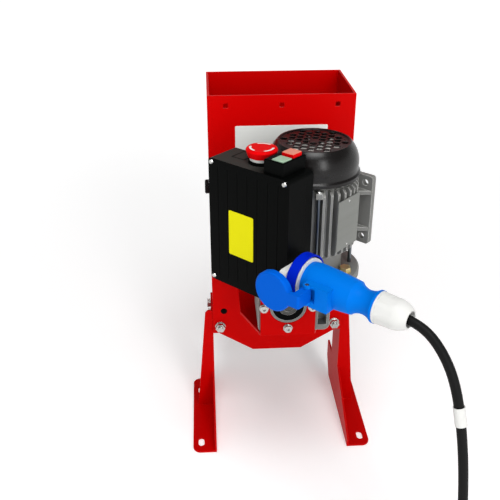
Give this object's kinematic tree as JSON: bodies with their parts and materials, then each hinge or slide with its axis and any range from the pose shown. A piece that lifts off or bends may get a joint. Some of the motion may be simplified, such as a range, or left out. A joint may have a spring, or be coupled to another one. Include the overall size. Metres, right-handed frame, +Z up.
{
  "type": "electric nutcracker",
  "caption": "Electric nutcracker: red sheet-steel hopper on bent legs, fluted roller and adjustable jaw inside, worm gearbox with an upright motor, control box and corded inlet.",
  "frame": {"origin": "on the floor under the middle of the machine, measured without the cable and its coupling", "axes": "+Z up, +X to the right and +Y to the back as seen from the motor side"},
  "size_m": [0.3138, 0.575, 0.524],
  "materials": {
    "red_paint": "gloss red powder coat",
    "bare_aluminium": "brushed",
    "zinc_steel": "bright zinc plate",
    "yellow_zinc": "yellow zinc plate",
    "machined_steel": "turned and ground",
    "bronze": "hobbed",
    "cast_aluminium": "as cast",
    "cast_iron": "painted",
    "laminations": "varnished",
    "black_metal": "gloss black",
    "pale_plastic": "moulded",
    "black_plastic": "fine texture",
    "yellow_film": "printed film, blank",
    "red_plastic": "moulded",
    "green_plastic": "moulded",
    "white_plastic": "moulded",
    "dark_blue_plastic": "moulded",
    "light_blue_plastic": "moulded",
    "black_rubber": "matt"
  },
  "bodies": {
    "machine": {"front_plate": "red_paint", "back_plate": "red_paint", "left_wall": "red_paint", "right_wall": "red_paint", "blank_plaque": "bare_aluminium", "left_leg": "red_paint", "right_leg": "red_paint", "frame_bolts": "zinc_steel", "tie_rods": "zinc_steel", "rear_bearing_housing": "cast_iron", "ball_bearings": "machined_steel", "jaw_guides": "machined_steel", "deflector_plate": "red_paint", "gearbox_housing": "cast_aluminium", "gearbox_cover": "cast_aluminium", "output_seals": "black_rubber", "bearing_bracket": "red_paint", "bracket_screws": "zinc_steel", "motor_flange": "cast_aluminium", "motor_frame": "cast_aluminium", "motor_through_bolts": "zinc_steel", "motor_feet": "cast_aluminium", "motor_rear_shield": "cast_aluminium", "stator": "laminations", "fan_cover": "black_metal", "rating_plate": "bare_aluminium", "flange_bolts": "yellow_zinc", "box_base": "black_plastic", "box_cover": "black_plastic", "cover_screws": "zinc_steel", "blank_label": "yellow_film", "stop_base": "black_plastic", "switch_block": "black_plastic", "inlet_neck": "white_plastic", "inlet_collar": "dark_blue_plastic", "coupling_body": "light_blue_plastic", "coupling_ring": "white_plastic", "flap_pin": "zinc_steel", "gland_nut": "white_plastic", "cable": "black_rubber", "cable_band": "white_plastic", "cable_coil": "black_rubber", "coil_tie": "black_rubber", "plug": "black_rubber"},
    "roller": {"roller_shaft": "machined_steel", "cracking_roller": "machined_steel", "worm_wheel": "bronze", "hollow_shaft": "machined_steel"},
    "rotor": {"motor_shaft": "machined_steel", "rotor_core": "laminations", "worm": "machined_steel", "motor_fan": "pale_plastic"},
    "jaw": {"jaw_plate": "machined_steel"},
    "adjuster": {"jaw_spindle": "machined_steel", "adjuster_knob": "black_plastic"},
    "stop_plunger": {"stop_stem": "black_plastic"},
    "stop_mushroom": {"stop_cap": "red_plastic"},
    "start_button": {"green_button": "green_plastic"},
    "off_button": {"red_button": "red_plastic"},
    "flap": {"coupling_flap": "light_blue_plastic"}
  },
  "joints": [
    {"name": "rotor_spin", "type": "hinge", "parent": "machine", "child": "rotor", "pos_m": [0.031, -0.0632, 0.355], "axis": [0, 0, 1], "continuous": true},
    {"name": "roller_spin", "type": "hinge", "parent": "machine", "child": "roller", "pos_m": [0, 0.0948, 0.273], "axis": [0, 1, 0], "continuous": true},
    {"name": "jaw_slide", "type": "slide", "parent": "machine", "child": "jaw", "axis": [1, 0, 0], "range_m": [-0.004, 0.008]},
    {"name": "adjuster_turn", "type": "hinge", "parent": "machine", "child": "adjuster", "pos_m": [-0.1, 0.0948, 0.368], "axis": [1, 0, 0], "range_deg": [-720.5, 360.5]},
    {"name": "stop_press", "type": "slide", "parent": "machine", "child": "stop_plunger", "axis": [0, 0, -1], "range_m": [0, 0.004], "stiffness_N_per_m": 1500, "springref_m": -0.004},
    {"name": "stop_twist", "type": "hinge", "parent": "stop_plunger", "child": "stop_mushroom", "pos_m": [-0.03757, -0.10541, 0.482], "axis": [0, 0, -1], "range_deg": [0, 40], "stiffness_Nm_per_rad": 0.05, "springref_deg": -17.19},
    {"name": "start_press", "type": "slide", "parent": "machine", "child": "start_button", "axis": [0, 0, -1], "range_m": [0, 0.003], "stiffness_N_per_m": 600, "springref_m": -0.003},
    {"name": "off_press", "type": "slide", "parent": "machine", "child": "off_button", "axis": [0, 0, -1], "range_m": [0, 0.003], "stiffness_N_per_m": 600, "springref_m": -0.003},
    {"name": "flap_swing", "type": "hinge", "parent": "machine", "child": "flap", "pos_m": [0.00668, -0.20931, 0.36], "axis": [0, 0, 1], "range_deg": [0, 60], "stiffness_Nm_per_rad": 0.05, "springref_deg": -28.65}
  ],
  "couplings": [
    {"joint": "roller_spin", "follows": "rotor_spin", "ratio": 0.045455},
    {"joint": "adjuster_turn", "follows": "jaw_slide", "rad_per_m": -1570.8}
  ]
}
